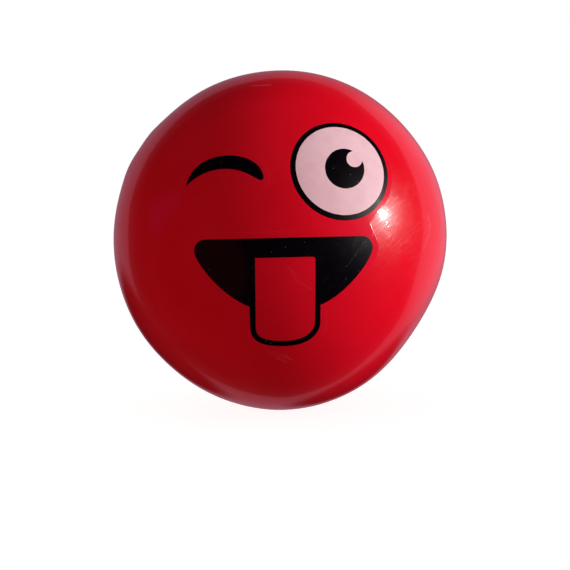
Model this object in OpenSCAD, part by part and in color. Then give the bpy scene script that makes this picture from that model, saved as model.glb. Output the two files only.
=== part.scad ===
// Air-filled vinyl stress ball with a winking face printed on its front and a needle valve in its back.
// The origin is the ball's centre. The face looks along -Y, the valve opens along +Y and +Z is up.
// The artwork is drawn flat, with X to the right and the second coordinate up, and lands on the ball
// by going straight back along +Y.

/* [Ball] */
// Diameter of the inflated ball
ball_d = 125; // [100:1:150]
// Thickness of the vinyl skin
skin_t = 1.2; // [1:0.1:2]

/* [Face transfer] */
// Thickness of the clear film under the inks
film_t = 0.06; // [0.04:0.01:0.1]
// Thickness of one layer of ink
ink_t = 0.08; // [0.05:0.01:0.12]
// How far the clear film shows past the mouth and the wink
film_margin = 1.9; // [1:0.1:2.4]
// How far it shows past the open eye
film_eye_margin = 1.5; // [1:0.1:2.2]
// Radius of the film's hollow corner on the left of its neck, between the eye and the mouth
film_fillet = 4; // [2:0.1:4.5]
// Point that the notch on the neck's right comes to
film_notch_at = [28.1, 5]; // [27:0.1:29]
// Radius of the notch
film_notch_r = 1.2; // [0.5:0.1:1.5]

/* [Open eye] */
// Centre of the ring
eye_at = [19.1, 22.15]; // [18:0.05:23]
// Long and short half-widths of the ring
eye_half = [16.8, 15.75]; // [15.5:0.05:17]
// Direction of the long half-width
eye_tilt = 137; // [120:1:150]
// Long and short half-widths of the white
white_half = [15.25, 14.25]; // [14:0.05:15.4]
// How far the white sits from the ring's centre, which makes the ring thinner on one side
white_shift = [0.15, 0.1]; // [0:0.05:0.3]
// Centre of the pupil
pupil_at = [20.6, 22.8]; // [20:0.1:24]
// Radius of the pupil
pupil_r = 6.55; // [5:0.05:8]
// Centre of the glint cut out of the pupil, from the pupil's centre
glint_at = [3.4, 3.15]; // [2.5:0.05:4]
// Radius of the glint
glint_r = 2.8; // [2:0.1:4]

/* [Wink] */
// Middle of the winking eye's line
wink_at = [-18.7, 19.65]; // [-20:0.05:22]
// Radius of its lower edge
wink_under_r = 17.5; // [16:0.1:19]
// Radius of its round end
wink_end_r = 0.9; // [0.7:0.1:1]

/* [Mouth] */
// Half the width of the mouth
mouth_half_w = 29; // [27:0.1:31]
// Height of the mouth's straight top edge
mouth_top = 0.6; // [0:0.1:1]
// Radius of the mouth's top corners
mouth_corner_r = 3.5; // [2:0.1:4]
// Half the width of the tongue, over its outline
tongue_half_w = 11.4; // [10:0.1:12]
// Lowest point of the tongue's outline
tongue_low = -34.8; // [-37:0.1:-33]
// Width of the tongue's outline
tongue_line_w = 1.65; // [1:0.05:2]
// Height of the tongue's top edge
tongue_top = -5.5; // [-7:0.1:-4]
// How far the tongue's top leans to the right
tongue_lean = 0.3; // [0:0.1:0.5]

/* [Valve] */
// Radius of the valve's housing, where the skin grips it
seat_r = 7; // [6.8:0.1:9]
// Length of the housing
seat_len = 14; // [13:0.5:18]
// Radius of the plug's stem
stem_r = 4; // [3:0.1:4.5]
// Length of the plug's stem
stem_len = 10.4; // [9:0.1:11]
// Radius of the plug's head
head_r = 5.5; // [5:0.1:5.8]
// Thickness of the plug's head
head_t = 1.6; // [1.2:0.1:2]
// How far the head lies below the top of the ball
head_recess = 0.4; // [0.3:0.1:1]
// Radius of the inflating needle's hole
needle_r = 1; // [0.8:0.05:1.2]
// Depth of the needle's hole
needle_len = 8; // [6:0.5:9]

/* [Hidden] */

ball_r = ball_d / 2;
// The artwork keeps its share of the ball
art = ball_d / 125;
film_r = ball_r + film_t;
ink_r = film_r + ink_t;
pupil_top_r = ink_r + ink_t;

// Gap around the plug, so that it slides
slide_gap = 0.05;
// The skin thickens to a collar around the valve, and the housing has a flange under it
collar_r = 9.5;
collar_depth = 4.5;
flange_r = 8.6;
flange_t = 1.5;
head_top = ball_r - head_recess;
head_under = head_top - head_t;
// Chamfer on the stem's inner end
stem_chamfer = 1;

// Points on each curve
steps = 12;
ring_points = 72;
// Overlap that joins the film's outlines
lap = 0.1;

// Handles of the curves. The mouth's right side rises from the tongue to the corner
mouth_side = [[tongue_half_w, -21.3], [19.9, -18.1], [mouth_half_w, -6.8],
              [mouth_half_w, mouth_top - mouth_corner_r]];
// The tongue's lower left corner is tighter than its lower right one
tongue_left = [[-tongue_half_w, -28], [-tongue_half_w, -32.5], [-8.9, tongue_low], [0, tongue_low]];
tongue_right = [[0, tongue_low], [8.4, tongue_low], [tongue_half_w, -30.4], [tongue_half_w, -27]];
// Top of the tongue's outline, inside the mouth
tongue_line_top = -14;
tongue_corner_r = 1;
// The wink's upper edge runs from its sharp tip to its round end, both from wink_at
wink_tip = [-12.7, -1.1];
wink_end = [11.75, 0.7];
wink_over = [wink_end + [wink_end_r, 0], [11.75, 10.4], [-10, 11.9], wink_tip];
// The lower edge is an arc that runs straight on into the round end
wink_under_at = [-0.4, 4 - wink_under_r];
wink_under_from = 132.5;
wink_under_to = angle_to(wink_under_at, wink_end)
    + acos((wink_under_r + wink_end_r) / norm(wink_end - wink_under_at));

function bezier(p, t) =
    (1 - t)^3 * p[0] + 3 * t * (1 - t)^2 * p[1] + 3 * t^2 * (1 - t) * p[2] + t^3 * p[3];

function bezier_way(p, t) =
    let (d = (1 - t)^2 * (p[1] - p[0]) + 2 * t * (1 - t) * (p[2] - p[1]) + t^2 * (p[3] - p[2]))
    d / norm(d);

// Points along a curve, m outside it. Outlines run anticlockwise
function edge(p, m) = [
    for (i = [0:steps]) let (t = i / steps, d = bezier_way(p, t)) bezier(p, t) + m * [d.y, -d.x]
];

function arc(at, r, from, to) = [
    for (i = [0:steps]) let (a = from + (to - from) * i / steps) at + r * [cos(a), sin(a)]
];

function mirrored(points) = [for (i = [len(points) - 1:-1:0]) [-points[i].x, points[i].y]];

function turned(v, a) = [v.x * cos(a) - v.y * sin(a), v.x * sin(a) + v.y * cos(a)];

// Distance from an ellipse's centre to its edge, at angle a from its long half-width
function ellipse_r(half, a) = half.x * half.y / norm([half.y * cos(a), half.x * sin(a)]);

function angle_to(from, to) = atan2(to.y - from.y, to.x - from.x);

// Direction from p of the line that touches a circle, on the circle's left or right as way is 1 or -1
function touch_angle(p, at, r, way) = angle_to(p, at) + way * asin(r / norm(at - p));

// Where that line touches the circle
function touch_point(p, at, r, way) =
    p + sqrt(norm(at - p)^2 - r^2) * [cos(touch_angle(p, at, r, way)), sin(touch_angle(p, at, r, way))];

module ellipse(half, tilt) {
    polygon([
        for (i = [0:ring_points - 1]) let (a = 360 * i / ring_points)
            turned([half.x * cos(a), half.y * sin(a)], tilt)
    ]);
}

module eye_outline(m) {
    translate(eye_at) ellipse(eye_half + [m, m], eye_tilt);
}

module white_outline() {
    translate(eye_at + white_shift) ellipse(white_half, eye_tilt);
}

module pupil_outline() {
    translate(pupil_at) difference() {
        circle(pupil_r, $fn = 64);
        translate(glint_at) circle(glint_r, $fn = 48);
    }
}

// The mouth without its tongue, grown by m
module mouth_outline(m) {
    corner = [mouth_half_w, mouth_top] - mouth_corner_r * [1, 1];
    right = concat(edge(mouth_side, m), arc(corner, mouth_corner_r + m, 0, 90));
    polygon(concat(right, mirrored(right)));
}

// The tongue's outer edge, grown by m, with a square top at height top
module tongue_outline(m, top) {
    w = tongue_half_w + m;
    polygon(concat([[-w, top]], edge(tongue_left, m), edge(tongue_right, m), [[w, top]]));
}

// The bare skin that shows as the tongue. Its top right corner is rounded
module tongue_window() {
    m = -tongue_line_w;
    w = tongue_half_w + m;
    corner = [w + tongue_lean, tongue_top] - tongue_corner_r * [1, 1];
    polygon(concat([[tongue_lean - w, tongue_top]], edge(tongue_left, m), edge(tongue_right, m),
                   arc(corner, tongue_corner_r, 0, 90)));
}

// The winking eye's line, grown by m: a crescent with a sharp left tip and a round right end
module wink_outline(m) {
    translate(wink_at)
        polygon(concat(arc(wink_end, wink_end_r + m, wink_under_to - 180, 0), edge(wink_over, m),
                       arc(wink_under_at, wink_under_r - m, wink_under_from, wink_under_to)));
}

// The film under the wink follows it and rounds its tip
module wink_film_outline() {
    wink_outline(film_margin);
    translate(wink_at + wink_tip) circle(film_margin, $fn = 48);
}

// The film's neck between the eye and the mouth, with a hollow corner on its left and a notch on its right
module film_neck() {
    grown = eye_half + film_eye_margin * [1, 1];
    left_r = ellipse_r(grown, 235 - eye_tilt) + film_fillet - lap;
    left_z = mouth_top + film_margin + film_fillet - lap;
    left = [eye_at.x - sqrt(left_r^2 - (eye_at.y - left_z)^2), left_z];
    eye_r = ellipse_r(grown, 315 - eye_tilt) - lap;
    corner = [mouth_half_w, mouth_top] - mouth_corner_r * [1, 1];
    corner_r = mouth_corner_r + film_margin - lap;
    up = touch_angle(film_notch_at, eye_at, eye_r, -1);
    down = touch_angle(film_notch_at, corner, corner_r, 1);
    middle = (up + down) / 2;
    notch = film_notch_at + film_notch_r / sin((up - down) / 2) * [cos(middle), sin(middle)];
    polygon(concat([touch_point(film_notch_at, corner, corner_r, 1)],
                   arc(notch, film_notch_r, down + 270, up + 90),
                   [touch_point(film_notch_at, eye_at, eye_r, -1)],
                   arc(left, film_fillet, angle_to(left, eye_at), -90)));
}

// The layer between two radii, cut to a flat outline on the ball's front
module on_front(inner_r, outer_r) {
    intersection() {
        difference() {
            sphere(outer_r, $fn = 128);
            sphere(inner_r, $fn = 128);
        }
        rotate([90, 0, 0]) linear_extrude(outer_r + 1) scale(art) children();
    }
}

// A cylinder on the valve's axis, between two distances from the ball's centre
module valve_rod(r, from, to) {
    translate([0, from, 0]) rotate([-90, 0, 0]) cylinder(h = to - from, r = r, $fn = 64);
}

// Half of the ball's skin, on the side that the sign of way gives
module half_skin(way) {
    reach = ball_r + 1;
    intersection() {
        difference() {
            sphere(ball_r, $fn = 128);
            sphere(ball_r - skin_t, $fn = 128);
        }
        translate([0, way * reach / 2, 0]) cube([2 * reach, reach, 2 * reach], center = true);
    }
}

module skin_front() {
    color("crimson") half_skin(-1);
}

module skin_rear() {
    color("crimson") difference() {
        union() {
            half_skin(1);
            intersection() {
                sphere(ball_r - skin_t / 2, $fn = 128);
                valve_rod(collar_r, ball_r - collar_depth, ball_r);
            }
        }
        valve_rod(seat_r, ball_r - collar_depth - 1, ball_r + 1);
    }
}

// The housing is moulded into the skin's collar. Its outer end follows the ball
module valve_seat() {
    color("firebrick") difference() {
        union() {
            intersection() {
                sphere(ball_r, $fn = 128);
                valve_rod(seat_r, ball_r - seat_len, ball_r + 1);
            }
            valve_rod(flange_r, ball_r - collar_depth - flange_t, ball_r - collar_depth);
        }
        valve_rod(stem_r + slide_gap, ball_r - seat_len - 1, ball_r + 1);
        valve_rod(head_r + slide_gap, head_under, ball_r + 1);
    }
}

module valve_plug() {
    color("ivory") difference() {
        rotate([-90, 0, 0]) rotate_extrude($fn = 64) polygon([
            [0, head_under - stem_len],
            [stem_r - stem_chamfer, head_under - stem_len],
            [stem_r, head_under - stem_len + stem_chamfer],
            [stem_r, head_under],
            [head_r, head_under],
            [head_r, head_top],
            [0, head_top],
        ]);
        valve_rod(needle_r, head_top - needle_len, ball_r + 1);
    }
}

module face_film() {
    color("indianred") on_front(ball_r, film_r) {
        eye_outline(film_eye_margin);
        film_neck();
        mouth_outline(film_margin);
        tongue_outline(film_margin, tongue_line_top);
    }
}

module wink_film() {
    color("indianred") on_front(ball_r, film_r) wink_film_outline();
}

module eye_white() {
    color("pink") on_front(film_r, ink_r) white_outline();
}

module eye_ring() {
    color("black") on_front(film_r, ink_r) difference() {
        eye_outline(0);
        white_outline();
    }
}

module pupil() {
    color("black") on_front(ink_r, pupil_top_r) pupil_outline();
}

module wink_print() {
    color("black") on_front(film_r, ink_r) wink_outline(0);
}

// The mouth and the tongue's outline are one patch of black, with the tongue left open
module mouth_print() {
    color("black") on_front(film_r, ink_r) difference() {
        union() {
            mouth_outline(0);
            tongue_outline(0, tongue_line_top);
        }
        tongue_window();
    }
}

skin_front();
skin_rear();
valve_seat();
valve_plug();
face_film();
wink_film();
eye_white();
eye_ring();
pupil();
wink_print();
mouth_print();
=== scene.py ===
"""The looks of a vinyl stress ball with a printed winking face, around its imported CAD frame.

Shapes are worked out in millimetres and made in metres. The ball's centre is the origin, the face looks
along -Y and +Z is up. Flat artwork has X to the right and Z up, and lands on the ball along +Y.
"""

import math

import bpy
import numpy as np
from mathutils import Matrix, Vector
from mathutils.geometry import delaunay_2d_cdt


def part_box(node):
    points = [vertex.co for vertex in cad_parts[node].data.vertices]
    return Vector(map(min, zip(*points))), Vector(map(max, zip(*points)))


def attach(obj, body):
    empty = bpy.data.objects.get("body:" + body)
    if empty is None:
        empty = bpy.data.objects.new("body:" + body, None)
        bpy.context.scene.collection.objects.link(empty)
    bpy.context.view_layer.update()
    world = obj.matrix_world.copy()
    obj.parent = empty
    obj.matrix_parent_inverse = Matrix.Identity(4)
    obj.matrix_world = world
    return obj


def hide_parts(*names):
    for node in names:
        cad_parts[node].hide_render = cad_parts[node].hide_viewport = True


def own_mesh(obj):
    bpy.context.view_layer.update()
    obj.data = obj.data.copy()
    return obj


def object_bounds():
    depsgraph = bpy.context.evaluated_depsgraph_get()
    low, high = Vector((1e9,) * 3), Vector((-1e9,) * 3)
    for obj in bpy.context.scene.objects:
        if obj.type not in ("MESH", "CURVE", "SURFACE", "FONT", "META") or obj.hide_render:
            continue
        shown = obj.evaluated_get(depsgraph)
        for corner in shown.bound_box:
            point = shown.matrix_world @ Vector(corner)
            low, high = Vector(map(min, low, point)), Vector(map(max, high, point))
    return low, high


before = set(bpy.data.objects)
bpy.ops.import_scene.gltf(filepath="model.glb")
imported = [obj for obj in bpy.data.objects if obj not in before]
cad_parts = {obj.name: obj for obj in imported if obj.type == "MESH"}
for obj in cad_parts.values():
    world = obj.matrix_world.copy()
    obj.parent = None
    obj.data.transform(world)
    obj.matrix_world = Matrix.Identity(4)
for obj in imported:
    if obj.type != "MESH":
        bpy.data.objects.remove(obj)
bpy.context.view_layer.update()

MM = 0.001
BALL_R = -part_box("skin_front")[0].y / MM
SKIN_T, FILM_T, INK_T = 1.2, 0.06, 0.08

# ---------------------------------------------------------------- the ball's uneven surface

# Soft swells and hollows of the blown skin: direction, height in mm and spread in degrees
SWELLS = (
    ((0.25, -0.20, 0.95), 1.1, 44),
    ((-0.05, -0.20, -0.98), 1.1, 30),
    ((0.78, -0.25, -0.57), -2.0, 19),
    ((-0.98, -0.15, 0.10), -0.4, 26),
    ((0.93, -0.12, 0.34), 0.3, 12),
    ((-0.75, -0.15, 0.64), 0.35, 5),
    ((-0.87, -0.15, 0.46), 0.5, 7),
    ((-0.60, -0.10, 0.79), -0.2, 12),
    ((-0.60, 0.60, -0.50), -0.5, 34),
    ((0.55, 0.70, 0.45), 0.4, 30),
)
# Slight ripples: direction they run along, waves per radius, height in mm and start of the wave
RIPPLES = (
    ((0.8, 0.2, 0.6), 9, 0.045, 0.4),
    ((-0.5, 0.3, 0.8), 12, 0.030, 1.9),
    ((0.3, -0.7, 0.6), 7, 0.050, 3.1),
    ((0.9, 0.4, -0.3), 15, 0.018, 5.0),
)
# The surface is truly round up to the first distance from the valve's axis, and uneven from the second on
VALVE_TRUE_R, VALVE_BLEND_R = 10, 24
# The parting ridge at the equator
RIDGE_H, RIDGE_W = 0.09, 0.3


def unit(v):
    v = np.asarray(v, float)
    return v / np.linalg.norm(v, axis=-1, keepdims=True)


def smooth(t):
    t = np.clip(t, 0, 1)
    return t * t * (3 - 2 * t)


def skin_r(n):
    """Distance in mm from the centre to the skin along the unit directions n."""
    lift = np.zeros(len(n))
    for towards, height, spread in SWELLS:
        angle = np.degrees(np.arccos(np.clip(n @ unit(towards), -1, 1)))
        lift += height * np.exp(-((angle / spread) ** 2))
    for along, waves, height, start in RIPPLES:
        lift += height * np.sin(waves * (n @ unit(along)) + start)
    from_axis = BALL_R * np.hypot(n[:, 0], n[:, 2])
    by_valve = 1 - smooth((from_axis - VALVE_TRUE_R) / (VALVE_BLEND_R - VALVE_TRUE_R))
    by_valve[n[:, 1] <= 0] = 0
    return BALL_R + lift * (1 - by_valve)


def skin_normal(n):
    """The skin's outward normal along the unit directions n, from its slope two ways."""
    # Z gives a way along the skin, but not near the top and bottom, where X does
    axis = np.where(np.abs(n[:, 2:]) < 0.9, [[0, 0, 1.0]], [[1.0, 0, 0]])
    side = unit(np.cross(n, axis))
    up = np.cross(n, side)
    step = 1e-3
    r = skin_r(n)
    slope_side = (skin_r(unit(n + step * side)) - r) / step
    slope_up = (skin_r(unit(n + step * up)) - r) / step
    return unit(n - (slope_side[:, None] * side + slope_up[:, None] * up) / r[:, None])


def on_skin(flat, lift):
    """Points of flat artwork (x, z) in mm, landed on the skin and lifted off it, in mm."""
    flat = np.asarray(flat, float)
    y = -np.sqrt(BALL_R**2 - (flat**2).sum(1))
    n = unit(np.column_stack([flat[:, 0], y, flat[:, 1]]))
    return n * skin_r(n)[:, None] + skin_normal(n) * lift, skin_normal(n)


# ---------------------------------------------------------------- meshes

# Edges sharper than this show as edges
SMOOTH_ANGLE = math.radians(40)


def link_new(name, data):
    """A new object of the scene that shows the data."""
    obj = bpy.data.objects.new(name, data)
    bpy.context.scene.collection.objects.link(obj)
    return obj


def new_object(name, points_mm, faces, smooth_angle=SMOOTH_ANGLE):
    """A closed mesh object from points in mm, smooth except at edges sharper than smooth_angle."""
    mesh = bpy.data.meshes.new(name)
    mesh.from_pydata([tuple(p) for p in np.asarray(points_mm) * MM], [], faces)
    mesh.update()
    mesh.shade_smooth()
    mesh.set_sharp_from_angle(angle=smooth_angle)
    return link_new(name, mesh)


SEGMENTS = 288


def turned(name, rings):
    """A closed mesh from rings round an axis. A ring is one point, or one point for each segment."""
    rings = [np.atleast_2d(ring) for ring in rings]
    starts = np.cumsum([0, *map(len, rings)]).tolist()
    pairs = [(k, k + 1) for k in range(len(rings) - 1)]
    if len(rings[0]) > 1 and len(rings[-1]) > 1:
        pairs.append((len(rings) - 1, 0))
    faces = []
    for here, after in pairs:
        a, b = starts[here], starts[after]
        for i in range(SEGMENTS):
            j = (i + 1) % SEGMENTS
            if len(rings[here]) == 1:
                faces.append((a, b + j, b + i))
            elif len(rings[after]) == 1:
                faces.append((a + i, a + j, b))
            else:
                faces.append((a + i, a + j, b + j, b + i))
    return new_object(name, np.vstack(rings), faces)


AROUND = np.linspace(0, 2 * math.pi, SEGMENTS, endpoint=False)


def polar_directions(angle, way):
    """Unit directions on a ring at an angle in degrees from the pole on the side of way along Y."""
    a = math.radians(angle)
    turn = -way * AROUND
    y = np.full(SEGMENTS, way * math.cos(a))
    return np.column_stack([math.sin(a) * np.cos(turn), y, math.sin(a) * np.sin(turn)])


def skin_ring(angle, way, depth=0.0):
    """A ring of the skin, depth mm inside its outer surface. The parting ridge stands at the equator."""
    n = polar_directions(angle, way)
    y = BALL_R * math.radians(90 - angle)
    ridge = RIDGE_H * math.exp(-((y / RIDGE_W) ** 2)) if depth == 0 else 0
    return n * (skin_r(n) + ridge - depth)[:, None]


def valve_ring(radius, y):
    """A true circle round the valve's axis."""
    y = np.full(SEGMENTS, y)
    return np.column_stack([radius * np.cos(-AROUND), y, radius * np.sin(-AROUND)])


# Rings close to the equator, in mm from it, so that the parting ridge is round
RIDGE_RINGS = (0.0, 0.1, 0.2, 0.3, 0.42, 0.6, 0.9, 1.3)
# The last angle from the pole, in degrees, before those rings
LAST_PLAIN_ANGLE = 88
# How many plain rings each half has outside and inside
FRONT_RINGS, REAR_RINGS = (84, 45), (80, 44)
# The hole for the valve's housing, the collar round it and the rounding of the hole's lip
SEAT_R, COLLAR_R, COLLAR_DEPTH, LIP_R = 7.0, 9.5, 4.5, 0.6


def equator_angles():
    return [90 - math.degrees(y / BALL_R) for y in RIDGE_RINGS]


def front_skin():
    """The front half, from its pole out to the equator and back inside."""
    outer = [skin_ring(0, -1)[:1]]
    outer += [skin_ring(a, -1) for a in np.linspace(0.8, LAST_PLAIN_ANGLE, FRONT_RINGS[0])]
    outer += [skin_ring(a, -1) for a in reversed(equator_angles())]
    inner = [skin_ring(a, -1, SKIN_T) for a in np.linspace(90, 2, FRONT_RINGS[1])]
    inner += [skin_ring(0, -1, SKIN_T)[:1]]
    return turned("vinyl_front", outer + inner)


def rear_skin():
    """The rear half, from the lip round the valve out to the equator and back inside to the collar."""
    lip = []
    lip_top = math.sqrt(BALL_R**2 - (SEAT_R + LIP_R) ** 2)
    for a in np.radians(np.linspace(0, 90, 7)):
        r = SEAT_R + LIP_R - LIP_R * math.cos(a)
        lip.append(valve_ring(r, lip_top - LIP_R * (1 - math.sin(a))))
    first = math.degrees(math.asin((SEAT_R + LIP_R) / BALL_R))
    outer = [skin_ring(a, 1) for a in np.linspace(first, LAST_PLAIN_ANGLE, REAR_RINGS[0])[1:]]
    outer += [skin_ring(a, 1) for a in reversed(equator_angles())]
    # The inside ends beside the collar, which has a bevelled foot
    beside, collar_top, bevel = 1, 1.5, 0.4
    collar_angle = math.degrees(math.asin((COLLAR_R + beside) / BALL_R))
    inner = [skin_ring(a, 1, SKIN_T) for a in np.linspace(90, collar_angle, REAR_RINGS[1])]
    foot = BALL_R - COLLAR_DEPTH
    inner += [valve_ring(COLLAR_R, foot + collar_top), valve_ring(COLLAR_R, foot + bevel)]
    inner += [valve_ring(COLLAR_R - bevel, foot), valve_ring(SEAT_R, foot)]
    return turned("vinyl_rear", lip + outer + inner)


def lathe(name, profile):
    """A solid of revolution about the valve's axis, from (radius, y) pairs that run outside first."""
    rings = [valve_ring(r, y)[:1] if r == 0 else valve_ring(r, y) for r, y in profile]
    return turned(name, rings)


def corner(r, y, from_deg, to_deg, radius, points=5):
    """A rounded corner of a profile, about its own centre (r, y)."""
    return [
        (r + radius * math.cos(math.radians(a)), y + radius * math.sin(math.radians(a)))
        for a in np.linspace(from_deg, to_deg, points)
    ]


# ---------------------------------------------------------------- flat outlines of the artwork, in mm

# AT is a centre, HALF an ellipse's two half-widths and TILT the turn of the first in degrees. The wink lies
# between OVER, a Bezier curve, and UNDER, an arc, and has a round END at the right and a sharp TIP at the left.
# The film reaches its margins beyond the ink.
FILM_MARGIN, FILM_EYE_MARGIN, FILM_FILLET = 1.9, 1.5, 4.0
# The ways from the eye's centre to the two sides of the film's neck, in degrees
NECK_LEFT, NECK_RIGHT = 235, 315
FILM_NOTCH_AT, FILM_NOTCH_R = np.array([28.1, 5.0]), 1.2
EYE_AT, EYE_HALF, EYE_TILT = (19.1, 22.15), (16.8, 15.75), 137
WHITE_AT, WHITE_HALF = (19.25, 22.25), (15.25, 14.25)
PUPIL_AT, PUPIL_R = (20.6, 22.8), 6.55
GLINT_AT, GLINT_R = (24.0, 25.95), 2.8
WINK_AT = np.array([-18.7, 19.65])
WINK_TIP, WINK_END, WINK_END_R = np.array([-12.7, -1.1]), np.array([11.75, 0.7]), 0.9
WINK_OVER = ((12.65, 0.7), (11.75, 10.4), (-10.0, 11.9), (-12.7, -1.1))
WINK_UNDER_AT, WINK_UNDER_R, WINK_UNDER_FROM = np.array([-0.4, -13.5]), 17.5, 132.5
MOUTH_HALF_W, MOUTH_TOP, MOUTH_CORNER_R = 29.0, 0.6, 3.5
MOUTH_CORNER_AT = np.array([MOUTH_HALF_W - MOUTH_CORNER_R, MOUTH_TOP - MOUTH_CORNER_R])
TONGUE_HALF_W, TONGUE_LOW, TONGUE_TOP, TONGUE_LINE_W, TONGUE_CORNER_R = 11.4, -34.8, -5.5, 1.65, 1.0
TONGUE_LINE_TOP, TONGUE_LEAN = -14.0, 0.3
MOUTH_SIDE = ((TONGUE_HALF_W, -21.3), (19.9, -18.1), (29.0, -6.8), (29.0, MOUTH_TOP - MOUTH_CORNER_R))
TONGUE_LEFT = ((-TONGUE_HALF_W, -28), (-TONGUE_HALF_W, -32.5), (-8.9, TONGUE_LOW), (0, TONGUE_LOW))
TONGUE_RIGHT = ((0, TONGUE_LOW), (8.4, TONGUE_LOW), (TONGUE_HALF_W, -30.4), (TONGUE_HALF_W, -27))
CURVE_STEPS, ELLIPSE_STEPS = 24, 120


def curve(handles, margin=0.0):
    """Points along a Bezier curve, margin mm to its right, which is outside an anticlockwise outline."""
    p = np.array(handles, float)
    t = np.linspace(0, 1, CURVE_STEPS + 1)[:, None]
    at = (1 - t) ** 3 * p[0] + 3 * t * (1 - t) ** 2 * p[1] + 3 * t**2 * (1 - t) * p[2] + t**3 * p[3]
    way = (1 - t) ** 2 * (p[1] - p[0]) + 2 * t * (1 - t) * (p[2] - p[1]) + t**2 * (p[3] - p[2])
    way = unit(way)
    return at + margin * np.column_stack([way[:, 1], -way[:, 0]])


def arc(at, radius, from_deg, to_deg, steps=CURVE_STEPS):
    a = np.radians(np.linspace(from_deg, to_deg, steps + 1))
    return np.array(at) + radius * np.column_stack([np.cos(a), np.sin(a)])


def ellipse(at, half, tilt, margin=0.0):
    a = np.radians(np.linspace(0, 360, ELLIPSE_STEPS, endpoint=False))
    x, y = (half[0] + margin) * np.cos(a), (half[1] + margin) * np.sin(a)
    c, s = math.cos(math.radians(tilt)), math.sin(math.radians(tilt))
    return np.array(at) + np.column_stack([x * c - y * s, x * s + y * c])


def mouth_outline(margin=0.0):
    top_corner = arc(MOUTH_CORNER_AT, MOUTH_CORNER_R + margin, 0, 90)
    right = np.vstack([curve(MOUTH_SIDE, margin), top_corner])
    return np.vstack([right, right[::-1] * [-1, 1]])


def tongue_outline(margin, top):
    w = TONGUE_HALF_W + margin
    return np.vstack([[(-w, top)], curve(TONGUE_LEFT, margin), curve(TONGUE_RIGHT, margin), [(w, top)]])


def tongue_window():
    w = TONGUE_HALF_W - TONGUE_LINE_W
    at = (w + TONGUE_LEAN - TONGUE_CORNER_R, TONGUE_TOP - TONGUE_CORNER_R)
    sides = (curve(TONGUE_LEFT, -TONGUE_LINE_W), curve(TONGUE_RIGHT, -TONGUE_LINE_W))
    return np.vstack([[(TONGUE_LEAN - w, TONGUE_TOP)], *sides, arc(at, TONGUE_CORNER_R, 0, 90, 8)])


def wink_outline(margin=0.0):
    gap = np.linalg.norm(WINK_END - WINK_UNDER_AT)
    to = angle_to(WINK_UNDER_AT, WINK_END) + math.degrees(math.acos((WINK_UNDER_R + WINK_END_R) / gap))
    end = arc(WINK_END, WINK_END_R + margin, to - 180, 0, 12)
    under = arc(WINK_UNDER_AT, WINK_UNDER_R - margin, WINK_UNDER_FROM, to)
    return WINK_AT + np.vstack([end, curve(WINK_OVER, margin), under])


def wink_film_outlines():
    return [wink_outline(FILM_MARGIN), arc(WINK_AT + WINK_TIP, FILM_MARGIN, 0, 360, 40)[:-1]]


def ellipse_r(half, angle):
    """Distance from an ellipse's centre to its edge, at an angle in degrees from its long half-width."""
    a = math.radians(angle)
    return half[0] * half[1] / math.hypot(half[1] * math.cos(a), half[0] * math.sin(a))


def angle_to(a, b):
    return math.degrees(math.atan2(b[1] - a[1], b[0] - a[0]))


def touch(p, at, radius, way):
    """The angle of the line from p that touches a circle, and where it touches.

    The line passes the circle on the left if way is 1, and on the right if it is -1.
    """
    gap = np.linalg.norm(at - p)
    angle = angle_to(p, at) + way * math.degrees(math.asin(radius / gap))
    return angle, arc(p, math.sqrt(gap**2 - radius**2), angle, angle, 0)


def film_neck():
    """The film's neck between the eye and the mouth: a hollow corner on its left, a notch on its right.

    It laps over the rest of the film by lap mm, so that they fill one outline.
    """
    lap, f = 0.1, FILM_FILLET
    grown = (EYE_HALF[0] + FILM_EYE_MARGIN, EYE_HALF[1] + FILM_EYE_MARGIN)
    left_r = ellipse_r(grown, NECK_LEFT - EYE_TILT) + f - lap
    left_z = MOUTH_TOP + FILM_MARGIN + f - lap
    left = (EYE_AT[0] - math.sqrt(left_r**2 - (EYE_AT[1] - left_z) ** 2), left_z)
    eye_r = ellipse_r(grown, NECK_RIGHT - EYE_TILT) - lap
    up, top = touch(FILM_NOTCH_AT, np.array(EYE_AT), eye_r, -1)
    down, low = touch(FILM_NOTCH_AT, MOUTH_CORNER_AT, MOUTH_CORNER_R + FILM_MARGIN - lap, 1)
    reach = FILM_NOTCH_R / math.sin(math.radians(up - down) / 2)
    notch = arc(FILM_NOTCH_AT, reach, (up + down) / 2, 0, 0)[0]
    turn = arc(notch, FILM_NOTCH_R, down + 270, up + 90)
    return np.vstack([low, turn, top, arc(left, f, angle_to(left, EYE_AT), -90)])


# ---------------------------------------------------------------- thin sheets on the skin


def inside(points, outline):
    """Whether each point lies in a closed outline."""
    x, y = points[:, 0][:, None], points[:, 1][:, None]
    a, b = outline, np.roll(outline, -1, axis=0)
    spans = (a[:, 1] > y) != (b[:, 1] > y)
    rise = np.where(a[:, 1] == b[:, 1], 1, b[:, 1] - a[:, 1])
    cross = a[:, 0] + (y - a[:, 1]) / rise * (b[:, 0] - a[:, 0])
    return ((spans & (x < cross)).sum(1) % 2).astype(bool)


def in_area(points, outlines, holes):
    """Whether each point lies in one of the outlines and in none of the holes."""
    found = np.zeros(len(points), bool)
    for loop in outlines:
        found |= inside(points, loop)
    for loop in holes:
        found &= ~inside(points, loop)
    return found


def distance(points, outline):
    a, b = outline, np.roll(outline, -1, axis=0)
    way = b - a
    t = ((points[:, None] - a) * way).sum(2) / np.maximum((way**2).sum(1), 1e-12)
    near = a + np.clip(t, 0, 1)[:, :, None] * way
    return np.linalg.norm(points[:, None] - near, axis=2).min(1)


# The spacing of the points inside a sheet in mm, their least distance from its edge, and the distance under
# which two points are one
GRID = 1.3
EDGE_GAP = 0.45 * GRID
SAME_POINT = 1e-4


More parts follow.
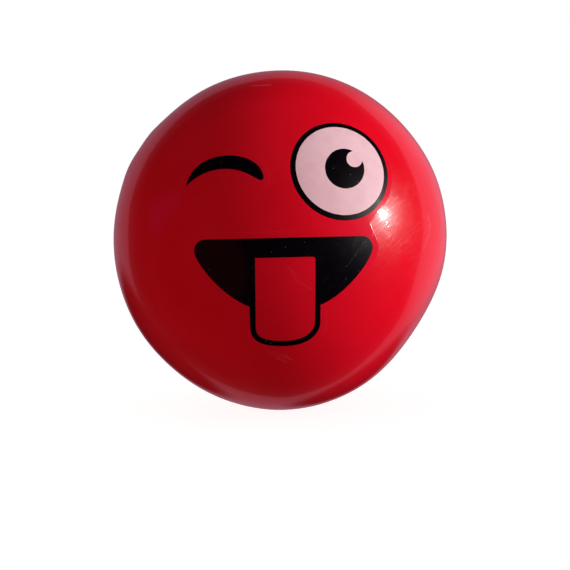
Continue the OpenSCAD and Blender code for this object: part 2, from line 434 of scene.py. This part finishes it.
def finely(outline):
    """The outline with points added along its long edges, so that it follows the ball."""
    points = []
    for a, b in zip(outline, np.roll(outline, -1, axis=0)):
        steps = max(1, math.ceil(np.linalg.norm(b - a) / GRID))
        points += [a + (b - a) * k / steps for k in range(steps)]
    return np.array(points)


def flat_mesh(outlines, holes):
    """Triangles that fill the outlines but not the holes, fine enough to follow the ball."""
    outlines, holes = [finely(loop) for loop in outlines], [finely(loop) for loop in holes]
    loops = outlines + holes
    lo = np.min([loop.min(0) for loop in loops], axis=0)
    hi = np.max([loop.max(0) for loop in loops], axis=0)
    rows = []
    for k, z in enumerate(np.arange(lo[1], hi[1], GRID * math.sqrt(3) / 2)):
        x = np.arange(lo[0] + (k % 2) * GRID / 2, hi[0], GRID)
        rows.append(np.column_stack([x, np.full(len(x), z)]))
    grid = np.vstack(rows)
    keep = in_area(grid, outlines, holes)
    for loop in loops:
        keep &= distance(grid, loop) > EDGE_GAP
    points, edges = [], []
    for loop in loops:
        n = len(points)
        points.extend(loop)
        edges += [(n + i, n + (i + 1) % len(loop)) for i in range(len(loop))]
    points.extend(grid[keep])
    found = delaunay_2d_cdt([Vector(p) for p in points], edges, [], 0, SAME_POINT, False)
    flat = np.array([tuple(v) for v in found[0]])
    triangles = np.array([f for f in found[2] if len(f) == 3])
    triangles = triangles[in_area(flat[triangles].mean(1), outlines, holes)]
    used, back = np.unique(triangles, return_inverse=True)
    flat, triangles = flat[used], back.reshape(-1, 3)
    a, b, c = (flat[triangles[:, i]] for i in range(3))
    turn = (b - a)[:, 0] * (c - a)[:, 1] - (b - a)[:, 1] * (c - a)[:, 0]
    triangles[turn < 0] = triangles[turn < 0][:, ::-1]
    return flat, triangles


def rim_of(flat, triangles):
    """The rim's directed edges, and each rim point's outward way in the flat."""
    edges = {(int(t[i]), int(t[(i + 1) % 3])) for t in triangles for i in range(3)}
    rim = [e for e in edges if (e[1], e[0]) not in edges]
    outward = {}
    for a, b in rim:
        way = unit(flat[b] - flat[a])
        for p in (a, b):
            outward.setdefault(p, []).append((way[1], -way[0]))
    return sorted(rim), {p: unit(np.sum(ways, axis=0)) for p, ways in sorted(outward.items())}


def sheet_on_skin(name, outlines, holes, base, thickness, slope):
    """A thin closed sheet on the skin, whose edge slopes down over slope mm to its base."""
    flat, triangles = flat_mesh(outlines, holes)
    rim, outward = rim_of(flat, triangles)
    top, top_normals = on_skin(flat, base + thickness)
    low_flat = flat.copy()
    for p, way in outward.items():
        low_flat[p] = flat[p] + slope * way
    low, low_normals = on_skin(low_flat, base)
    for p, way in outward.items():
        low_normals[p] = unit(low_normals[p] * slope + np.array([way[0], 0, way[1]]) * thickness)
    n = len(flat)
    # The flat runs anticlockwise as seen from the front, so its top faces outwards as it stands
    faces = [tuple(t) for t in triangles] + [tuple(t[::-1] + n) for t in triangles]
    faces += [(a, a + n, b + n, b) for a, b in rim]
    obj = new_object(name, np.vstack([top, low]), faces, math.pi)
    bottom = -low_normals
    for p in outward:
        bottom[p] = low_normals[p]
    obj.data.normals_split_custom_set_from_vertices([tuple(v) for v in np.vstack([top_normals, bottom])])
    edge = obj.data.attributes.new("edge", "FLOAT", "POINT")
    edge.data.foreach_set("value", np.repeat([0.0, 1.0], n))
    return obj


# ---------------------------------------------------------------- materials

# The noise of the hairlines is drawn out along X and Y and pressed together along Z
HAIRLINE_SCALE = (0.2, 0.2, 2.8)
# Where the gloss is worn most, in mm, and how far the wear reaches; the film's painted haze of light round the
# glint follows the same patch
WORN_AND_HAZE_AT, WORN_AND_HAZE_R = (36, -50, 3), 31
# The share of a mark's radius or half-width that is as strong as its middle
FULL_MARK = 0.2


class Nodes:
    """A short way to write a node tree."""

    def __init__(self, tree):
        self.tree = tree

    def add(self, kind, inputs=(), **settings):
        node = self.tree.nodes.new(kind)
        for key, value in settings.items():
            setattr(node, key, value)
        for key, value in dict(inputs).items():
            socket = node.inputs[key]
            if isinstance(value, bpy.types.NodeSocket):
                self.tree.links.new(value, socket)
            else:
                socket.default_value = value
        return node

    def maths(self, operation, a, b=0.0, c=0.0, clamp=False):
        inputs = {0: a, 1: b, 2: c}
        return self.add("ShaderNodeMath", inputs, operation=operation, use_clamp=clamp).outputs[0]

    def times(self, a, b):
        return self.maths("MULTIPLY", a, b)

    def weighted(self, base, *parts):
        """The base plus each value times its weight, from pairs of a value and a weight."""
        for value, weight in parts:
            base = self.maths("MULTIPLY_ADD", value, weight, base)
        return base

    def strongest(self, first, *others):
        for other in others:
            first = self.maths("MAXIMUM", first, other)
        return first

    def vector(self, operation, a, b):
        """A vector operation, which gives a number if it is a distance or a dot product."""
        outputs = self.add("ShaderNodeVectorMath", {0: a, 1: b}, operation=operation).outputs
        return outputs["Value" if operation in ("DISTANCE", "DOT_PRODUCT") else "Vector"]

    def scaled(self, a, factor):
        return self.add("ShaderNodeVectorMath", {0: a, "Scale": factor}, operation="SCALE").outputs[0]

    def ramp(self, value, low, high, to_low=0.0, to_high=1.0):
        inputs = {"Value": value, "From Min": low, "From Max": high, "To Min": to_low, "To Max": to_high}
        return self.add("ShaderNodeMapRange", inputs, interpolation_type="SMOOTHSTEP").outputs[0]

    def noise(self, at, scale, detail=2.0, roughness=0.5, distortion=0.0):
        inputs = {
            "Vector": at,
            "Scale": scale,
            "Detail": detail,
            "Roughness": roughness,
            "Distortion": distortion,
        }
        return self.add("ShaderNodeTexNoise", inputs).outputs["Fac"]

    def uneven(self, at, scale, low, high):
        """A value that wanders between low and high, faster at a larger scale."""
        return self.ramp(self.noise(at, scale), 0.3, 0.7, low, high)

    def mix(self, share, a, b, blend="MIX"):
        # Input 0 is the share, inputs 6 and 7 are the colours, and output 2 is the colour that they make
        inputs = {0: share, 6: a, 7: b}
        return self.add("ShaderNodeMix", inputs, data_type="RGBA", blend_type=blend).outputs[2]

    def bump(self, height, depth):
        """The normal of a surface that stands depth mm higher where the height is 1 than where it is 0."""
        return self.add("ShaderNodeBump", {"Height": height, "Distance": depth * MM}).outputs[0]

    def in_mm(self):
        """Object coordinates in mm."""
        return self.scaled(self.add("ShaderNodeTexCoord").outputs["Object"], 1 / MM)

    def hairlines(self, at, angle, seed, low=0.5, high=0.62):
        """Fine scratches that rise at an angle in degrees across the front, in patches."""
        turn = {"Location": (seed, 0, seed * 2), "Rotation": (0, math.radians(angle), 0)}
        turned_at = self.add("ShaderNodeMapping", {"Vector": at, **turn}).outputs[0]
        stretched = self.vector("MULTIPLY", turned_at, HAIRLINE_SCALE)
        lines = self.ramp(self.noise(stretched, 1.0, roughness=0.6), low, high)
        patches = self.ramp(self.noise(turned_at, 0.10), 0.36, 0.60)
        return self.times(lines, patches)

    def on_front(self, at):
        """The point's place in the flat artwork, with its y set to 0, and 1 on the front of the ball."""
        flat = self.vector("MULTIPLY", at, (1, 0, 1))
        y = self.add("ShaderNodeSeparateXYZ", {0: at}).outputs[1]
        return flat, self.maths("LESS_THAN", y, 0.0)

    def strokes(self, at, marks_and_sheen):
        """The strongest mark here, of those given. A mark is a path of (x, z) points, a half-width and a
        strength.
        """
        flat, front = self.on_front(at)
        found = []
        for path, width, strength in marks_and_sheen:
            for start, end in zip(path, path[1:]):
                way = Vector((end[0] - start[0], 0, end[1] - start[1]))
                off = self.vector("SUBTRACT", flat, Vector((start[0], 0, start[1])))
                share = self.vector("DOT_PRODUCT", off, way / way.length_squared)
                near = self.scaled(way, self.maths("ADD", share, 0.0, clamp=True))
                gap = self.vector("DISTANCE", off, near)
                found.append(self.ramp(gap, width, FULL_MARK * width, 0.0, strength))
        return self.times(self.strongest(*found), front)

    def worn(self, at):
        """1 in the middle of the worn patch, where the film's haze of light is also painted, and 0 outside it.
        """
        return self.ramp(self.vector("DISTANCE", at, WORN_AND_HAZE_AT), WORN_AND_HAZE_R, FULL_MARK * WORN_AND_HAZE_R)

    def towards(self, way, direction):
        """The cosine of the angle between a direction and the one that the ray takes."""
        return self.vector("DOT_PRODUCT", way, unit(direction))

    def specks(self, at, spacing, size, share):
        """Small dots in cells spacing mm wide, of which only a share has its dot."""
        inputs = {"Vector": at, "Scale": 1 / spacing, "Randomness": 1.0}
        cells = self.add("ShaderNodeTexVoronoi", inputs, feature="F1").outputs
        dots = self.ramp(cells["Distance"], size / spacing, 0.4 * size / spacing)
        lot = self.add("ShaderNodeSeparateColor", {"Color": cells["Color"]}).outputs[0]
        return self.times(dots, self.maths("LESS_THAN", lot, share))


def new_material(name):
    """An empty material, and the means to fill its node tree."""
    material = bpy.data.materials.new(name)
    material.use_nodes = True
    material.node_tree.nodes.clear()
    return material, Nodes(material.node_tree)


def finish_material(nodes, inputs):
    shader = nodes.add("ShaderNodeBsdfPrincipled", inputs)
    nodes.add("ShaderNodeOutputMaterial", {"Surface": shader.outputs[0]})


RED, DEEP_RED = (0.85, 0.004, 0.020, 1), (0.77, 0.002, 0.014, 1)
# The pink of the scuff marks also paints highlights, and the paler film red also paints a haze of light round
# the glint
MILKY_RED_AND_HAZE, SCUFF_AND_HIGHLIGHT_PINK = (0.78, 0.011, 0.047, 1), (0.80, 0.16, 0.20, 1)
DUST = (0.55, 0.42, 0.40, 1)
# The rubbed grey of the ink also paints its sheen by the glint
BLACK_INK, RUBBED_INK_AND_SHEEN_GREY = (0.0022, 0.0014, 0.0035, 1), (0.16, 0.15, 0.15, 1)
WHITE_INK, THIN_WHITE_INK, INK_DUST = (0.93, 0.65, 0.71, 1), (0.86, 0.54, 0.62, 1), (0.25, 0.12, 0.14, 1)
SEAT_RED, DEEP_SEAT_RED = (0.60, 0.004, 0.018, 1), (0.46, 0.003, 0.012, 1)
RUBBER, GRIME = (0.76, 0.72, 0.63, 1), (0.50, 0.44, 0.36, 1)
# The clear coat's roughness
GLOSS = 0.07
SMOOTH_COAT = {"Coat Weight": 1.0, "Coat Roughness": GLOSS, "Coat IOR": 1.45}
# The specular level of the red, under its coat, where it isn't worn
RED_SPECULAR = 0.05
# The height in mm of the swirls in the vinyl, which is also the depth of its hairlines
SWIRL_H = 0.004

# Scuffs on the skin, among them a painted highlight along a small wrinkle at the top: paths of (x, z) points in
# mm, half-width and strength
SKIN_SCUFFS_AND_HIGHLIGHTS = (
    (((-8.7, 53.9), (-2.8, 54.0)), 0.5, 0.30),
    (((50.5, 7.6), (51.4, 4.2), (50.7, 0.4), (49.6, -1.7), (48.3, -4.2)), 0.4, 0.20),
    (((-9.4, -34.4), (-6.2, -35.7)), 0.5, 0.22),
    (((-3.9, -34.9), (-2.8, -35.6)), 0.4, 0.18),
    (((-3.0, -39.1), (-1.6, -40.0)), 0.4, 0.15),
    (((-0.2, -38.2), (1.9, -40.0)), 0.45, 0.20),
    (((-0.6, -40.1), (0.3, -41.1)), 0.4, 0.16),
    (((-5.6, -36.5), (-0.6, -39.3)), 1.6, 0.05),
)
# Marks on the film: a crease across the tongue, and painted highlights below the film's notch by the glint
FILM_CREASE_AND_HIGHLIGHTS = (
    (((0.9, -8.4), (2.6, -10.4), (3.4, -12.6), (5.8, -14.5), (8.4, -16.0)), 0.5, 0.07),
    (((30.1, 2.2), (29.1, 0.6)), 0.35, 0.7),
    (((26.8, 2.8), (25.2, 0.4)), 0.35, 0.12),
)
# Scratches in the ink, which show as rows of dots, and a painted sheen across the eye's ring by the glint; then
# soft streaks of painted sheen on the mouth by the glint
INK_SCRATCHES_AND_SHEEN = (
    (((26.6, -0.9), (20.7, -8.6)), 0.32, 0.28),
    (((-6.6, -33.0), (-4.8, -33.9)), 0.4, 0.3),
    (((30.4, 12.9), (31.9, 11.8)), 0.9, 0.4),
)
PAINTED_INK_SHEEN = (
    (((24.4, 0.7), (22.6, -2.2)), 1.0, 0.05),
    (((27.0, -1.2), (25.0, -4.6)), 0.8, 0.03),
)


def red_colour(nodes, at, scuff_and_highlight_marks):
    """The vinyl's red, a little uneven where the plastic ran in the mould, with dust, scuff marks and painted
    highlights.
    """
    cloud = nodes.ramp(nodes.noise(at, 0.028, detail=3.0, distortion=0.6), 0.3, 0.75, 0.0, 0.85)
    share = nodes.weighted(cloud, (nodes.noise(at, 0.9), 0.25))
    dust = nodes.times(nodes.specks(at, spacing=3.4, size=0.16, share=0.22), 0.3)
    colour = nodes.mix(dust, nodes.mix(share, RED, DEEP_RED), DUST)
    return nodes.mix(nodes.strokes(at, scuff_and_highlight_marks), colour, SCUFF_AND_HIGHLIGHT_PINK)


def vinyl_material():
    """Glossy vinyl, hazy and finely scratched where it is worn."""
    material, nodes = new_material("red_vinyl")
    at = nodes.in_mm()
    brushed = nodes.hairlines(at, angle=37, seed=3.0)
    crossed = nodes.hairlines(at, angle=-32, seed=41.0, low=0.56, high=0.66)
    worn = nodes.worn(at)
    lines = nodes.times(nodes.strongest(brushed, nodes.times(crossed, 0.4)), worn)
    swirl = nodes.times(nodes.noise(at, 0.20), SWIRL_H)
    normal = nodes.bump(nodes.weighted(swirl, (lines, -SWIRL_H)), depth=1.0)
    finish_material(
        nodes,
        {
            "Base Color": red_colour(nodes, at, SKIN_SCUFFS_AND_HIGHLIGHTS),
            "Roughness": nodes.uneven(at, 0.15, low=0.30, high=0.36),
            "Specular IOR Level": nodes.weighted(RED_SPECULAR, (lines, 0.45), (worn, 0.20)),
            "Normal": normal,
            "Coat Normal": normal,
            **SMOOTH_COAT,
        },
    )
    return material


def film_material():
    """Clear film shows the red skin under it, a little clouded, with a painted pink haze of light round the
    glint. It is smoother, and its cut edge is dull.
    """
    material, nodes = new_material("clear_film_on_red")
    at = nodes.in_mm()
    # The film turns paler pink round the glint: a painted haze of light
    milky_and_haze = nodes.weighted(0.06, (nodes.worn(at), 0.55))
    edge = nodes.add("ShaderNodeAttribute", attribute_name="edge").outputs["Fac"]
    finish_material(
        nodes,
        {
            **SMOOTH_COAT,
            "Base Color": nodes.mix(milky_and_haze, red_colour(nodes, at, FILM_CREASE_AND_HIGHLIGHTS), MILKY_RED_AND_HAZE),
            "Roughness": nodes.uneven(at, 0.2, low=0.26, high=0.32),
            "Specular IOR Level": RED_SPECULAR,
            "Coat Roughness": nodes.weighted(GLOSS, (edge, 0.22)),
        },
    )
    return material


def black_ink_material():
    """Black ink with specks, a few scratches and painted grey sheen by the glint, greyer where it is worn."""
    material, nodes = new_material("black_ink")
    at = nodes.in_mm()
    broken = nodes.ramp(nodes.noise(at, 1.9), 0.42, 0.6)
    # Scratches, specks and hairlines in the ink, with painted grey sheen on the eye's ring and the mouth by the
    # glint
    marks_and_sheen = nodes.strongest(
        nodes.times(nodes.hairlines(at, angle=52, seed=9.0, low=0.58, high=0.68), 0.04),
        nodes.times(nodes.strokes(at, INK_SCRATCHES_AND_SHEEN), broken),
        nodes.strokes(at, PAINTED_INK_SHEEN),
        nodes.times(nodes.specks(at, spacing=2.6, size=0.24, share=0.8), 0.45),
    )
    finish_material(
        nodes,
        {
            "Base Color": nodes.mix(marks_and_sheen, BLACK_INK, RUBBED_INK_AND_SHEEN_GREY),
            "Roughness": nodes.uneven(at, 0.3, low=0.40, high=0.46),
            "Specular IOR Level": nodes.weighted(0.03, (nodes.worn(at), 0.19)),
            **SMOOTH_COAT,
        },
    )
    return material


def white_ink_material():
    """Thin white ink, which the red under it turns pink, with a fine uneven grain."""
    material, nodes = new_material("white_ink")
    at = nodes.in_mm()
    cloud = nodes.ramp(nodes.noise(at, 0.22, detail=4.0, roughness=0.6), 0.35, 0.7, -0.1, 0.5)
    share = nodes.maths("MULTIPLY_ADD", nodes.noise(at, 2.4), 0.5, cloud, clamp=True)
    dust = nodes.times(nodes.specks(at, spacing=2.2, size=0.16, share=0.3), 0.35)
    colour = nodes.mix(dust, nodes.mix(share, WHITE_INK, THIN_WHITE_INK), INK_DUST)
    finish_material(
        nodes,
        {"Base Color": colour, "Roughness": 0.34, "Specular IOR Level": 0.08, **SMOOTH_COAT},
    )
    return material


def housing_material():
    """The valve housing's vinyl, a deeper red without the coat."""
    material, nodes = new_material("valve_vinyl")
    at = nodes.in_mm()
    finish_material(
        nodes,
        {
            "Base Color": nodes.mix(nodes.noise(at, 0.5, detail=3.0), SEAT_RED, DEEP_SEAT_RED),
            "Roughness": nodes.uneven(at, 1.2, low=0.32, high=0.46),
            "Normal": nodes.bump(nodes.noise(at, 2.5, detail=3.0), depth=0.02),
        },
    )
    return material


def plug_material():
    """Off-white rubber with a little grime."""
    material, nodes = new_material("plug_rubber")
    at = nodes.in_mm()
    grime = nodes.ramp(nodes.noise(at, 0.45, detail=5.0, roughness=0.6), 0.45, 0.75, 0.0, 0.5)
    finish_material(
        nodes,
        {
            "Base Color": nodes.mix(grime, RUBBER, GRIME),
            "Roughness": nodes.uneven(at, 1.5, low=0.45, high=0.62),
            "Normal": nodes.bump(nodes.noise(at, 3.0, detail=4.0), depth=0.03),
        },
    )
    return material


# ---------------------------------------------------------------- the pieces

VINYL = vinyl_material()
FILM = film_material()
BLACK = black_ink_material()
WHITE = white_ink_material()
HOUSING = housing_material()
PLUG = plug_material()


def place(obj, body, node, material):
    """Gives a piece its material and its body, and hides the CAD node that it stands for."""
    obj.data.materials.append(material)
    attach(obj, body)
    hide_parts(node)
    return obj


def squeezed(obj):
    """Gives the piece its own copy of its mesh."""
    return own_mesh(obj)


squeezed(place(front_skin(), "front", "skin_front", VINYL))
squeezed(place(rear_skin(), "rear", "skin_rear", VINYL))

INK_BASE = FILM_T
PUPIL_BASE = FILM_T + INK_T
FILM_SLOPE, INK_SLOPE = 0.28, 0.1
FACE_OUTLINES = [
    ellipse(EYE_AT, EYE_HALF, EYE_TILT, FILM_EYE_MARGIN),
    film_neck(),
    mouth_outline(FILM_MARGIN),
    tongue_outline(FILM_MARGIN, TONGUE_LINE_TOP),
]
EYE_RING = ellipse(EYE_AT, EYE_HALF, EYE_TILT)
EYE_WHITE = ellipse(WHITE_AT, WHITE_HALF, EYE_TILT)
PUPIL_DISC = arc(PUPIL_AT, PUPIL_R, 0, 360, 72)[:-1]
GLINT_DISC = arc(GLINT_AT, GLINT_R, 0, 360, 48)[:-1]
MOUTH = [mouth_outline(), tongue_outline(0, TONGUE_LINE_TOP)]

# name, CAD node, slot, material, outlines, holes, base, thickness, slope of the edge
SHEETS = (
    ("film_face", "face_film", "clear_film", FILM, FACE_OUTLINES, [], 0, FILM_T, FILM_SLOPE),
    ("film_wink", "wink_film", "clear_film", FILM, wink_film_outlines(), [], 0, FILM_T, FILM_SLOPE),
    ("ink_eye_white", "eye_white", "white_ink", WHITE, [EYE_WHITE], [], INK_BASE, INK_T, INK_SLOPE),
    ("ink_eye_ring", "eye_ring", "black_ink", BLACK, [EYE_RING], [EYE_WHITE], INK_BASE, INK_T, INK_SLOPE),
    ("ink_pupil", "pupil", "black_ink", BLACK, [PUPIL_DISC], [GLINT_DISC], PUPIL_BASE, INK_T, INK_SLOPE),
    ("ink_wink", "wink_print", "black_ink", BLACK, [wink_outline()], [], INK_BASE, INK_T, INK_SLOPE),
    ("ink_mouth", "mouth_print", "black_ink", BLACK, MOUTH, [tongue_window()], INK_BASE, INK_T, INK_SLOPE),
)
for name, node, slot, material, outlines, holes, base, thickness, slope in SHEETS:
    piece = sheet_on_skin(name, outlines, holes, base, thickness, slope)
    squeezed(place(piece, "front", node, material))


def housing():
    """The valve's housing: a flanged tube whose outer end follows the ball, with the plug's seat in it."""
    low, high = (c.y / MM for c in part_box("valve_seat"))
    outer = high - 0.15
    bore, counterbore, seat_floor = 4.05, 5.55, BALL_R - 2.0
    # The flange's radius inside its rounded edge, its outer face, its thickness and the rounding
    flange_r, flange_top, flange_t, flange_edge = 8.4, BALL_R - COLLAR_DEPTH, 1.5, 0.2
    profile = [(bore, low + 0.3), (bore, seat_floor)]
    profile += [(counterbore - 0.2, seat_floor), (counterbore, seat_floor + 0.2)]
    profile += corner(counterbore + 0.35, outer - 0.35, 180, 90, 0.35)
    profile += corner(SEAT_R - 0.45, outer - 0.5, 90, 0, 0.4)
    profile += [(SEAT_R, flange_top), (flange_r, flange_top)]
    profile += corner(flange_r, flange_top - flange_edge, 90, 0, flange_edge, 4)
    profile += corner(flange_r, flange_top - flange_t + flange_edge, 0, -90, flange_edge, 4)
    profile += [(SEAT_R, flange_top - flange_t), (SEAT_R, low + 0.5)]
    profile += corner(SEAT_R - 0.5, low + 0.5, 0, -90, 0.5)
    profile += [(bore + 0.3, low)]
    return lathe("valve_housing", profile)


def plug():
    """The rubber plug: a flat head with a rounded edge and a raised ring, and a stem with a blind hole."""
    low, high = (c.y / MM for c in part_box("valve_plug"))
    head_r, head_t, stem_r, needle_r, needle_len = 5.5, 1.6, 4.0, 1.0, 8.0
    # The head's face lies under the ring's top, and its edge and the hole's mouth have the same rounding
    face, ring_top, edge = high - 0.25, high - 0.04, 0.5
    under = high - head_t
    profile = [(0, high - needle_len), (needle_r, high - needle_len), (needle_r, face - edge)]
    profile += corner(needle_r + edge, face - edge, 180, 90, edge)
    profile += [(2.6, face), (2.85, ring_top), (3.35, ring_top), (3.6, face)]
    profile += corner(head_r - edge, face - edge, 90, 0, edge)
    profile += [(head_r, under + 0.1), (head_r - 0.1, under), (stem_r, under)]
    profile += [(stem_r, low + 1), (stem_r - 0.6, low + 0.25), (stem_r - 1.2, low), (0, low)]
    return lathe("needle_plug", profile)


place(housing(), "rear", "valve_seat", HOUSING)
place(plug(), "plug", "valve_plug", PLUG)

# ---------------------------------------------------------------- floor, light and camera

# Half the floor's side in metres, and its colour and glow
FLOOR_HALF, FLOOR_COLOUR, FLOOR_GLOW = 40.0, (0.60, 0.60, 0.60, 1), 0.78


def studio_floor():
    """A pale floor just under the ball, see-through from below."""
    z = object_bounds()[0].z
    corners = [(x * FLOOR_HALF, y * FLOOR_HALF, z) for x, y in ((-1, -1), (1, -1), (1, 1), (-1, 1))]
    mesh = bpy.data.meshes.new("floor")
    mesh.from_pydata(corners, [], [(0, 1, 2, 3)])
    obj = link_new("floor", mesh)
    material, nodes = new_material("pale_floor")
    pale = nodes.add("ShaderNodeBsdfDiffuse", {"Color": FLOOR_COLOUR})
    glow = nodes.add("ShaderNodeEmission", {"Color": WHITE_LIGHT, "Strength": FLOOR_GLOW})
    lit = nodes.add("ShaderNodeAddShader", {0: pale.outputs[0], 1: glow.outputs[0]})
    below = nodes.add("ShaderNodeNewGeometry").outputs["Backfacing"]
    clear = nodes.add("ShaderNodeBsdfTransparent")
    shown = nodes.add("ShaderNodeMixShader", {0: below, 1: lit.outputs[0], 2: clear.outputs[0]})
    nodes.add("ShaderNodeOutputMaterial", {"Surface": shown.outputs[0]})
    obj.data.materials.append(material)
    obj.visible_diffuse = obj.visible_glossy = obj.visible_transmission = False


# Dimmer places in the surroundings: direction, and the cosines at which the shade is full and at which it ends
SHADES = (((-0.50, 0.77, -0.42), 0.965, 0.92), ((0.32, 0.767, -0.555), 0.98, 0.945))
SHADE_LEFT = 0.02
# The middle of the brightest part, of the reddish part, and of what light bounces back from
SUNNY, WARM, BOUNCE = (0.82, 0.50, 0.20), (-0.74, -0.63, -0.24), (-0.38, 0.80, -0.46)
# The middle of a bluish streak, and the direction across it
BLUISH, BLUISH_ACROSS = (-0.962, -0.036, 0.270), (0.182, 0.653, 0.735)
WHITE_LIGHT, NO_LIGHT = (1, 1, 1, 1), (0, 0, 0, 1)
DARK_ROOM, PALE_SKY = (0.003, 0.0, 0.001, 1), (0.75, 0.35, 0.475, 1)
BLUISH_LIGHT, REDDISH_LIGHT = (0.040, 0.014, 0.11, 1), (0.11, 0.008, 0.010, 1)
COOL_FILL, WARM_FILL, BOUNCED = (1.0, 0.96, 1.0, 1), (1.0, 0.45, 0.42, 1), (1.0, 0.25, 0.25, 1)
# Direction, power and width in degrees of the sun that lights the colours, and of the one that leaves the glint
KEY_SUN = ((0.962, -0.170, 0.214), 3.7, 22)
GLINT_SUN = ((0.925, -0.298, 0.210), 2.7, 0.8)
SUN_COLOUR = (1.0, 0.96, 0.92)


def surroundings(nodes, way, x, y, z):
    """What the gloss mirrors: bright behind the ball and dark in front of it, so that only its rim is pale."""
    right, top = nodes.maths("MAXIMUM", x, 0.0), nodes.maths("MAXIMUM", z, 0.0)
    left, low = nodes.maths("MINIMUM", x, 0.0), nodes.maths("MINIMUM", z, 0.0)
    sunny = nodes.ramp(nodes.towards(way, SUNNY), 0.72, 0.92)
    level = nodes.weighted(y, (right, 0.20), (left, -0.05), (top, -0.165), (low, -0.06), (sunny, 0.10))
    level = nodes.weighted(level, (nodes.noise(way, 2.2), 0.10))
    # The pale part has a firm edge, and a faint band before it that fades away
    band = nodes.maths("ADD", nodes.ramp(level, 0.655, 0.69), nodes.ramp(level, 0.45, 0.69, 0.0, 0.25))
    glow = nodes.times(nodes.weighted(0.36, (sunny, 0.34), (top, -0.14)), band)
    for shade, full, end in SHADES:
        glow = nodes.times(glow, nodes.ramp(nodes.towards(way, shade), end, full, 1.0, SHADE_LEFT))
    across = nodes.maths("ABSOLUTE", nodes.towards(way, BLUISH_ACROSS))
    along = nodes.ramp(nodes.towards(way, BLUISH), 0.955, 0.990)
    streak = nodes.times(along, nodes.ramp(across, 0.20, 0.02))
    colour = nodes.mix(streak, nodes.mix(glow, DARK_ROOM, PALE_SKY), BLUISH_LIGHT)
    return nodes.mix(nodes.ramp(nodes.towards(way, WARM), 0.87, 0.925), colour, REDDISH_LIGHT)


def soft_light(nodes, way, x, y):
    """The soft light on the colours: a fill from the front left, and red light bounced from behind."""
    fill = nodes.weighted(0.20, (y, -0.17), (x, -0.08))
    tint = nodes.mix(nodes.ramp(nodes.towards(way, WARM), 0.0, 0.9), COOL_FILL, WARM_FILL)
    back = nodes.ramp(nodes.towards(way, BOUNCE), 0.50, 0.95, 0.0, 0.75)
    back = nodes.maths("ADD", back, nodes.ramp(y, 0.45, 0.9, 0.0, 0.35))
    return nodes.mix(fill, nodes.mix(back, NO_LIGHT, BOUNCED), tint, "ADD")


def studio_world():
    """White for the camera, one light for the colours and another for what the gloss mirrors."""
    world = bpy.data.worlds.new("studio")
    bpy.context.scene.world = world
    world.use_nodes = True
    world.node_tree.nodes.clear()
    world.cycles.sampling_method = "NONE"
    nodes = Nodes(world.node_tree)
    way = nodes.add("ShaderNodeTexCoord").outputs["Generated"]
    x, y, z = nodes.add("ShaderNodeSeparateXYZ", {0: way}).outputs
    rays = nodes.add("ShaderNodeLightPath").outputs
    shown = nodes.mix(rays["Is Diffuse Ray"], surroundings(nodes, way, x, y, z), soft_light(nodes, way, x, y))
    shown = nodes.mix(rays["Is Camera Ray"], shown, WHITE_LIGHT)
    background = nodes.add("ShaderNodeBackground", {"Color": shown, "Strength": 1.0})
    nodes.add("ShaderNodeOutputWorld", {"Surface": background.outputs[0]})


def sunlight(name, towards, power, width):
    """A sun that looks width degrees across."""
    light = bpy.data.lights.new(name, "SUN")
    light.energy = power
    light.angle = math.radians(width)
    light.color = SUN_COLOUR
    light.use_shadow = False
    obj = link_new(name, light)
    obj.rotation_euler = Vector(towards).to_track_quat("Z", "Y").to_euler()
    return obj


def studio_sun():
    """A wide sun from the right, and a narrow one a little nearer the front that leaves only its glint."""
    sunlight("key", *KEY_SUN).visible_glossy = False
    sunlight("glint", *GLINT_SUN).visible_diffuse = False


# Where the camera is, in mm, and its roll in degrees
CAMERA_AT, CAMERA_ROLL = (-9.07, -399.9, 0), 1.35


def studio_camera():
    """The camera looks level at the ball's centre, and its shift sets the ball above the picture's middle."""
    data = bpy.data.cameras.new("camera")
    data.lens = 66.7
    data.sensor_width = 36
    data.shift_x, data.shift_y = 0.0096, -0.0789
    data.clip_start, data.clip_end = 0.01, 100
    obj = link_new("camera", data)
    at = Vector(CAMERA_AT) * MM
    roll = math.radians(CAMERA_ROLL)
    back = at.normalized()
    up = Vector((math.sin(roll), 0, math.cos(roll)))
    right = up.cross(back).normalized()
    up = back.cross(right)
    turn = Matrix((right, up, back)).transposed().to_4x4()
    obj.matrix_world = Matrix.Translation(at) @ turn
    bpy.context.scene.camera = obj


studio_camera()
studio_floor()
studio_world()
studio_sun()
bpy.context.scene.view_settings.view_transform = "Standard"
